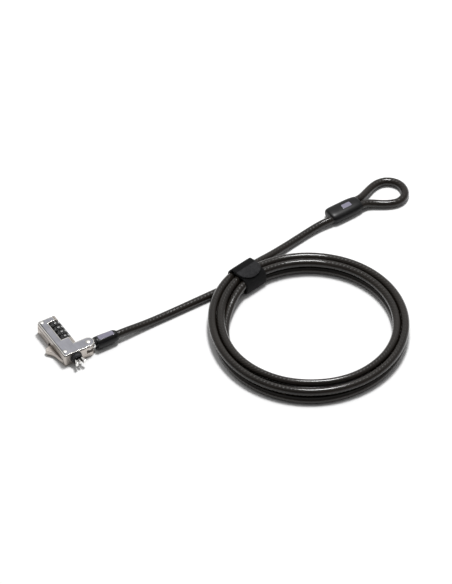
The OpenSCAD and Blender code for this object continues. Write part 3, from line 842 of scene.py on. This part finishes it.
@dataclass(frozen=True)
class Cable:
    """The sheathed cable from the ferrule through the coil to the crimped eye, with what is on it."""

    diameter: float = 5.5
    length_m: float = 1.826
    coil_centre: tuple[float, float] = (148.0, -59.0)
    tie_angle: float = 101.6
    strand_gap: float = 2.85
    step: float = 1.3
    sides: int = 22
    strap: Strap = Strap()
    sleeve: EyeSleeve = EyeSleeve()
    ferrule: Ferrule = Ferrule()
    lead: tuple = ((24.5, 0, 5.0), (33.6, 0, 5.0), (40, 0.1, 4.8), (48, 0.4, 4.0), (58, 0.8, 3.1),
                   (70, 1.2, 2.75), (82, 1.6, 2.75), (94, 2.1, 2.75), (106, 2.6, 2.75), (114, 2.9, 2.8),
                   (121, 3.15, 3.2), (127.5, 3.3, 3.9))
    # Degrees past the tie, distance from the coil's centre and height, for each of the four turns
    turns: tuple = (
        ((3, 63.2, 3.95), (20, 62.9, 3.1), (50, 62.8, 2.75), (150, 62.8, 2.75), (190, 63.8, 2.75),
         (222, 65.0, 2.75), (255, 64.0, 2.75), (285, 63.0, 2.75), (312, 62.4, 2.75), (330, 61.0, 2.8),
         (345, 59.0, 3.3)),
        ((0, 57.6, 3.95), (20, 57.1, 3.1), (50, 57.0, 2.75), (180, 57.0, 2.75), (222, 57.3, 2.75),
         (255, 57.1, 2.75), (285, 57.0, 2.75), (300, 56.8, 2.9), (312, 56.4, 3.4), (330, 56.0, 5.8),
         (345, 56.7, 8.4)),
        ((0, 57.6, 9.45), (20, 57.5, 8.9), (50, 57.5, 8.3), (150, 57.5, 8.3), (190, 56.0, 8.15),
         (222, 54.6, 7.95), (255, 55.6, 8.1), (280, 57.2, 8.35), (300, 58.3, 8.4), (312, 59.3, 8.4),
         (330, 61.2, 8.6), (345, 62.6, 9.1)),
        ((0, 63.2, 9.45), (20, 63.2, 8.9), (50, 63.2, 8.3), (255, 63.2, 8.3), (285, 63.4, 8.3),
         (300, 64.0, 8.3), (312, 65.0, 8.3), (330, 66.8, 8.4), (345, 68.2, 8.7), (352, 68.6, 8.7)),
    )
    tail: tuple = ((134.2, 8.25, 7.3), (140, 9.5, 6.0), (150, 11.7, 4.9), (160, 13.8, 3.8), (172, 16.4, 3.0),
                   (184, 18.9, 2.8), (195, 21.0, 3.0), (204, 22.1, 3.5))
    eye: tuple = ((240.5, 23.8, 3.7), (245.0, 21.8, 3.2), (249.8, 18.9, 2.85), (254.8, 16.4, 2.75),
                  (259.8, 15.2, 2.75), (264.6, 16.4, 2.75), (268.2, 19.8, 2.75), (269.8, 24.6, 2.75),
                  (269.2, 29.6, 2.75), (266.4, 33.8, 2.75), (262.0, 36.6, 2.75), (256.8, 37.2, 2.75),
                  (251.4, 35.8, 2.8), (246.0, 33.2, 3.2), (240.6, 30.6, 3.7))

    def coil_points(self) -> np.ndarray:
        """The turns as places, in mm.

        Distance and height are read off the turns' stops every degree, averaged over 13 degrees, and put
        round the coil's centre, one place every 12 degrees.

        Returns:
            (n, 3) places.
        """
        stops = np.array([(360 * k + d, r, z) for k, turn in enumerate(self.turns) for d, r, z in turn])
        degree = np.arange(stops[0, 0], stops[-1, 0] + 0.5)
        spread, every = 6, 12
        window = np.ones(2 * spread + 1) / (2 * spread + 1)
        eased = []
        for column in (1, 2):
            value = np.interp(degree, stops[:, 0], stops[:, column])
            eased.append(np.convolve(np.pad(value, spread, mode="edge"), window, mode="valid"))
        radius, height = (e[::every] for e in eased)
        angle = np.radians(self.tie_angle - degree[::every])
        cx, cy = self.coil_centre
        return np.stack([cx + radius * np.cos(angle), cy + radius * np.sin(angle), height], 1)

    def route(self) -> np.ndarray:
        """The whole centreline at even steps of about 1.3 mm, in metres."""
        sleeve, gap = self.sleeve, self.strand_gap
        start = [sleeve.place(0, -gap), sleeve.place(12, -gap), sleeve.place(sleeve.length, -gap)]
        end = [sleeve.place(sleeve.length, gap), sleeve.place(13.5, gap)]
        points = np.vstack([self.lead, self.coil_points(), self.tail, start, self.eye, end])
        return smooth_path(points, self.step) * MM

    def build(self) -> list[bpy.types.Object]:
        """Returns:
            The pieces.
        """
        path = self.route()
        cord = tube("steel_cable", path, self.diameter / 2 * MM, self.sides)
        dress(cord, Finish.SHEATH)
        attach(cord, "cable")
        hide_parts("cable_lead", "cable_coil", "cable_tail", "cable_eye")
        strap = self.strap.build(self.coil_centre, self.tie_angle)
        sleeve = self.sleeve.build()
        ferrule = self.ferrule.build()
        for node in ("cable_crimp", "eye_crimp", "swivel_collar"):
            dress(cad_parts[node], Finish.STEEL)
        return [cord, strap, *sleeve, *ferrule]


# ---- The head ----


@dataclass(frozen=True)
class RoundedNode:
    """How one CAD node is shown: rounded edges and a finish; the record's slot name is kept but not used
    here.
    """

    node: str
    body: str
    finish: Finish
    slot: str
    rounding: float
    segments: int = 3

    def build(self, shape_it: Callable[[bmesh.types.BMesh], None] | None = None) -> bpy.types.Object:
        """Makes the rounded copy and dresses it; shape_it may change it first."""
        piece = softened(self.node, self.rounding, self.segments, shape_it=shape_it)
        dress(piece, self.finish)
        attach(piece, self.body)
        return piece


@dataclass(frozen=True)
class LockHead:
    """The cast body, its cover, the rivets and the thumb lever."""

    parts: tuple = (
        RoundedNode("housing", "head", Finish.SATIN_NICKEL, "satin_nickel", 0.3),
        RoundedNode("cover_rivet", "head", Finish.RIVET, "bright_metal", 0.08, 2),
        RoundedNode("lever_pin", "head", Finish.RIVET, "bright_metal", 0.08, 2),
        RoundedNode("pivot_pin", "head", Finish.RIVET, "bright_metal", 0.08, 2),
        RoundedNode("release_lever", "lever", Finish.SATIN_NICKEL, "satin_nickel", 0.35),
        RoundedNode("swivel_tongue", "swivel", Finish.BRIGHT, "bright_metal", 0.12, 2),
        RoundedNode("reset_screw", "reset", Finish.BRIGHT, "bright_metal", 0.08, 2),
    )

    cover: RoundedNode = RoundedNode("cover_plate", "head", Finish.COVER_RIM, "brushed_cover", 0.14)
    rim: float = 0.55
    groove: tuple[float, float] = (0.16, 0.06)

    def shape_cover(self, shape: bmesh.types.BMesh) -> None:
        """Runs a flat rim and a shallow groove inside the cover's outline.

        Args:
            shape: the merged copy; its brushed field gets material 1 and its groove material 2, whose
                near-black finish is painted shade in the groove.
        """
        shape.faces.ensure_lookup_table()
        top = max(vert.co.z for vert in shape.verts)
        edge_foot = top - self.cover.rounding * MM
        level = [face for face in shape.faces if face.normal.z > 0.99]
        flat = [face for face in level if face.calc_center_median().z > edge_foot]
        bmesh.ops.inset_region(shape, faces=flat, thickness=self.rim * MM, use_even_offset=True)
        width, depth = self.groove
        walls = bmesh.ops.inset_region(shape, faces=flat, thickness=width * MM, depth=-depth * MM,
                                       use_even_offset=True)["faces"]
        for face in walls:
            # The groove's walls take the near-black finish, which paints shade in the groove.
            face.material_index = 2
            for edge in face.edges:
                edge.smooth = False
        for face in flat:
            face.material_index = 1

    def build(self) -> list[bpy.types.Object]:
        """Makes each part in turn."""
        cover = self.cover.build(self.shape_cover)
        dress(cover, Finish.COVER_RIM, Finish.BRUSHED_COVER, Finish.GROOVE)
        return [cover] + [part.build() for part in self.parts]


@dataclass(frozen=True)
class LockingTip:
    """The rubber bumper, the two flared prongs and the ribbed pin between them."""

    parts: tuple = (
        RoundedNode("rubber_bumper", "head", Finish.RUBBER, "bumper_rubber", 0.4, 4),
        RoundedNode("prong_left", "left_prong", Finish.BRIGHT, "bright_metal", 0.3),
        RoundedNode("prong_right", "right_prong", Finish.BRIGHT, "bright_metal", 0.3),
        RoundedNode("spreader_pin", "spreader", Finish.BRIGHT, "bright_metal", 0.06, 2),
    )

    def build(self) -> list[bpy.types.Object]:
        """Makes each part in turn."""
        return [part.build() for part in self.parts]


@dataclass(frozen=True)
class Dials:
    """The code dials with a digit on each land."""

    count: int = 4
    digits: int = 10
    height: float = 1.45
    proud: float = 0.035
    depth: float = 0.05
    slab: float = 0.05
    edge: float = 0.12

    def digit_mesh(self, text: str) -> tuple[np.ndarray, np.ndarray]:
        """One digit in its own plane.

        Args:
            text: the digit.

        Returns:
            Places, centred and scaled to the digit's height in mm, and its triangles.
        """
        curve = bpy.data.curves.new("digit", "FONT")
        curve.body = text
        curve.extrude = self.slab
        curve.resolution_u = 4
        holder = bpy.data.objects.new("digit", curve)
        bpy.context.scene.collection.objects.link(holder)
        mesh = bpy.data.meshes.new_from_object(holder.evaluated_get(bpy.context.evaluated_depsgraph_get()))
        mesh.calc_loop_triangles()
        points = np.zeros(len(mesh.vertices) * 3)
        corners = np.zeros(len(mesh.loop_triangles) * 3, np.int32)
        mesh.vertices.foreach_get("co", points)
        mesh.loop_triangles.foreach_get("vertices", corners)
        bpy.data.objects.remove(holder)
        bpy.data.meshes.remove(mesh)
        bpy.data.curves.remove(curve)
        points, place = np.unique(points.reshape(-1, 3).round(5), axis=0, return_inverse=True)
        corners = place.ravel()[corners].reshape(-1, 3)
        corners = corners[(corners != np.roll(corners, 1, axis=1)).all(axis=1)]
        low, high = points.min(0), points.max(0)
        scale = self.height / (high[1] - low[1])
        return (points - (low + high) / 2) * [scale, scale, 1.0], corners

    def build_digits(self, number: int) -> bpy.types.Object:
        """The digits of one dial, wrapped on its rim.

        A digit's up runs round the rim and its width along the axis: its place at angle t from the top is
        (axis x - r sin t, y, axis z + r cos t), with t the arc to the digit plus its own height over r.

        Args:
            number: the dial, counted from 1.

        Returns:
            One mesh of all the digits.
        """
        low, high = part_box(f"dial_wheel_{number}")
        middle = np.array((low + high) / 2) / MM
        radius = (high.z - low.z) / 2 / MM
        points, triangles, offset = [], [], 0
        for k in range(self.digits):
            flat, faces = self.digit_mesh(str(k))
            turn = 2 * np.pi * k / self.digits + flat[:, 1] / radius
            r = radius + np.where(flat[:, 2] > 0, self.proud, -self.depth)
            points.append(np.stack([middle[0] - r * np.sin(turn), middle[1] + flat[:, 0],
                                    middle[2] + r * np.cos(turn)], 1))
            triangles.append(faces + offset)
            offset += len(flat)
        piece = add_piece(f"dial_digits_{number}", np.vstack(points) * MM, np.vstack(triangles))
        piece.data.polygons.foreach_set("use_smooth", np.zeros(len(piece.data.polygons), bool))
        dress(piece, Finish.DIGIT)
        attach(piece, f"dial_{number}")
        return piece

    def build(self) -> list[bpy.types.Object]:
        """Makes the wheels and their digits, and dresses the hubs."""
        made = []
        for number in range(1, self.count + 1):
            wheel = RoundedNode(f"dial_wheel_{number}", f"dial_{number}", Finish.DIAL_BLACK, "dial_black",
                                self.edge, 2)
            made += [wheel.build(), self.build_digits(number)]
            dress(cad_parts[f"code_hub_{number}"], Finish.STEEL)
        return made


def dress_mechanism() -> None:
    """Plain steel on the pieces inside the head."""
    for node in ("lever_spring", "prong_pins", "dial_spindle", "spindle_spring", "detent_spring", "lock_bar"):
        dress(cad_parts[node], Finish.STEEL)


# ---- Studio ----


@dataclass(frozen=True)
class Studio:
    """Camera, soft lights, pale surroundings and floor."""

    target: tuple[float, float, float] = (0.119, 0.0023, 0.0)
    azimuth: float = -30.3
    elevation: float = 45.2
    distance: float = 9.6
    lens: float = 888.0
    sensor: float = 36.0
    clip: float = 40.0
    room: tuple = ((0.0, 0.12), (1.0, 0.75), (0.5, 0.17), (0.85, 0.48))
    key_place: tuple[float, float, float] = (0.42, 0.25, 1.38)
    key_side: float = 0.28
    key_power: float = 17.5
    floor_half: float = 3.0
    floor_paint: tuple[float, float, float, float] = (0.93, 0.93, 0.93, 1.0)

    def add_camera(self) -> None:
        """A long lens that looks at the target from the azimuth and elevation."""
        a, e = math.radians(self.azimuth), math.radians(self.elevation)
        back = Vector((math.sin(a) * math.cos(e), -math.cos(a) * math.cos(e), math.sin(e)))
        data = bpy.data.cameras.new("camera")
        data.lens = self.lens
        data.sensor_width = self.sensor
        data.clip_end = self.clip
        camera = bpy.data.objects.new("camera", data)
        bpy.context.scene.collection.objects.link(camera)
        camera.location = Vector(self.target) + back * self.distance
        camera.rotation_mode = "QUATERNION"
        camera.rotation_quaternion = (-back).to_track_quat("-Z", "Y")
        bpy.context.scene.camera = camera

    def add_key_light(self) -> None:
        """A soft square light above and behind the lock, aimed at the target."""
        data = bpy.data.lights.new("key", "AREA")
        data.shape = "RECTANGLE"
        data.size = data.size_y = self.key_side
        data.energy = self.key_power
        lamp = bpy.data.objects.new("key", data)
        bpy.context.scene.collection.objects.link(lamp)
        lamp.location = self.key_place
        aim = Vector(self.target) - Vector(self.key_place)
        lamp.rotation_mode = "QUATERNION"
        lamp.rotation_quaternion = aim.to_track_quat("-Z", "Y")

    def add_surroundings(self) -> None:
        """A dim room with one bright side, which the flat tops mirror.

        Its brightness is a ramp on the cosine between a direction and that of the bright side.
        """
        world = bpy.data.worlds.new("studio")
        bpy.context.scene.world = world
        net = Net(world)
        a, e = math.radians(self.azimuth), math.radians(self.elevation)
        bright = (-math.sin(a) * math.cos(e), math.cos(a) * math.cos(e), math.sin(e))
        direction = net.node("ShaderNodeTexCoord", out="Generated")
        cosine = net.node("ShaderNodeVectorMath", {"operation": "DOT_PRODUCT"},
                          {0: direction, 1: bright}, out="Value")
        shade = net.node("ShaderNodeValToRGB", {"stops": self.room}, {0: cosine})
        glow = net.node("ShaderNodeBackground", {}, {"Color": shade, "Strength": 1.0})
        net.node("ShaderNodeOutputWorld", {}, {"Surface": glow})

    def add_floor(self) -> None:
        """A plain pale floor."""
        half = self.floor_half
        points = np.array([(-half, -half, 0.0), (half, -half, 0.0), (half, half, 0.0), (-half, half, 0.0)])
        floor = add_piece("floor", points, np.array([[0, 1, 2, 3]]))
        net = Net.painted("floor_paint")
        floor.data.materials.append(net.finish(Base_Color=self.floor_paint, Roughness=0.75))

    def build(self) -> None:
        """Sets up the whole studio."""
        self.add_camera()
        self.add_surroundings()
        self.add_floor()
        self.add_key_light()
        bpy.context.scene.view_settings.view_transform = "Standard"
        bpy.context.scene.view_settings.look = "None"


def main() -> None:
    """Builds the studio, the cable and the head, and reports each piece."""
    logging.basicConfig(level=logging.INFO, format="%(name)s: %(message)s")
    Studio().build()
    made = Cable().build() + LockHead().build() + LockingTip().build() + Dials().build()
    dress_mechanism()
    for piece in made:
        log.info("%s: %d faces", piece.name, len(piece.data.polygons))


if __name__ == "__main__":
    main()
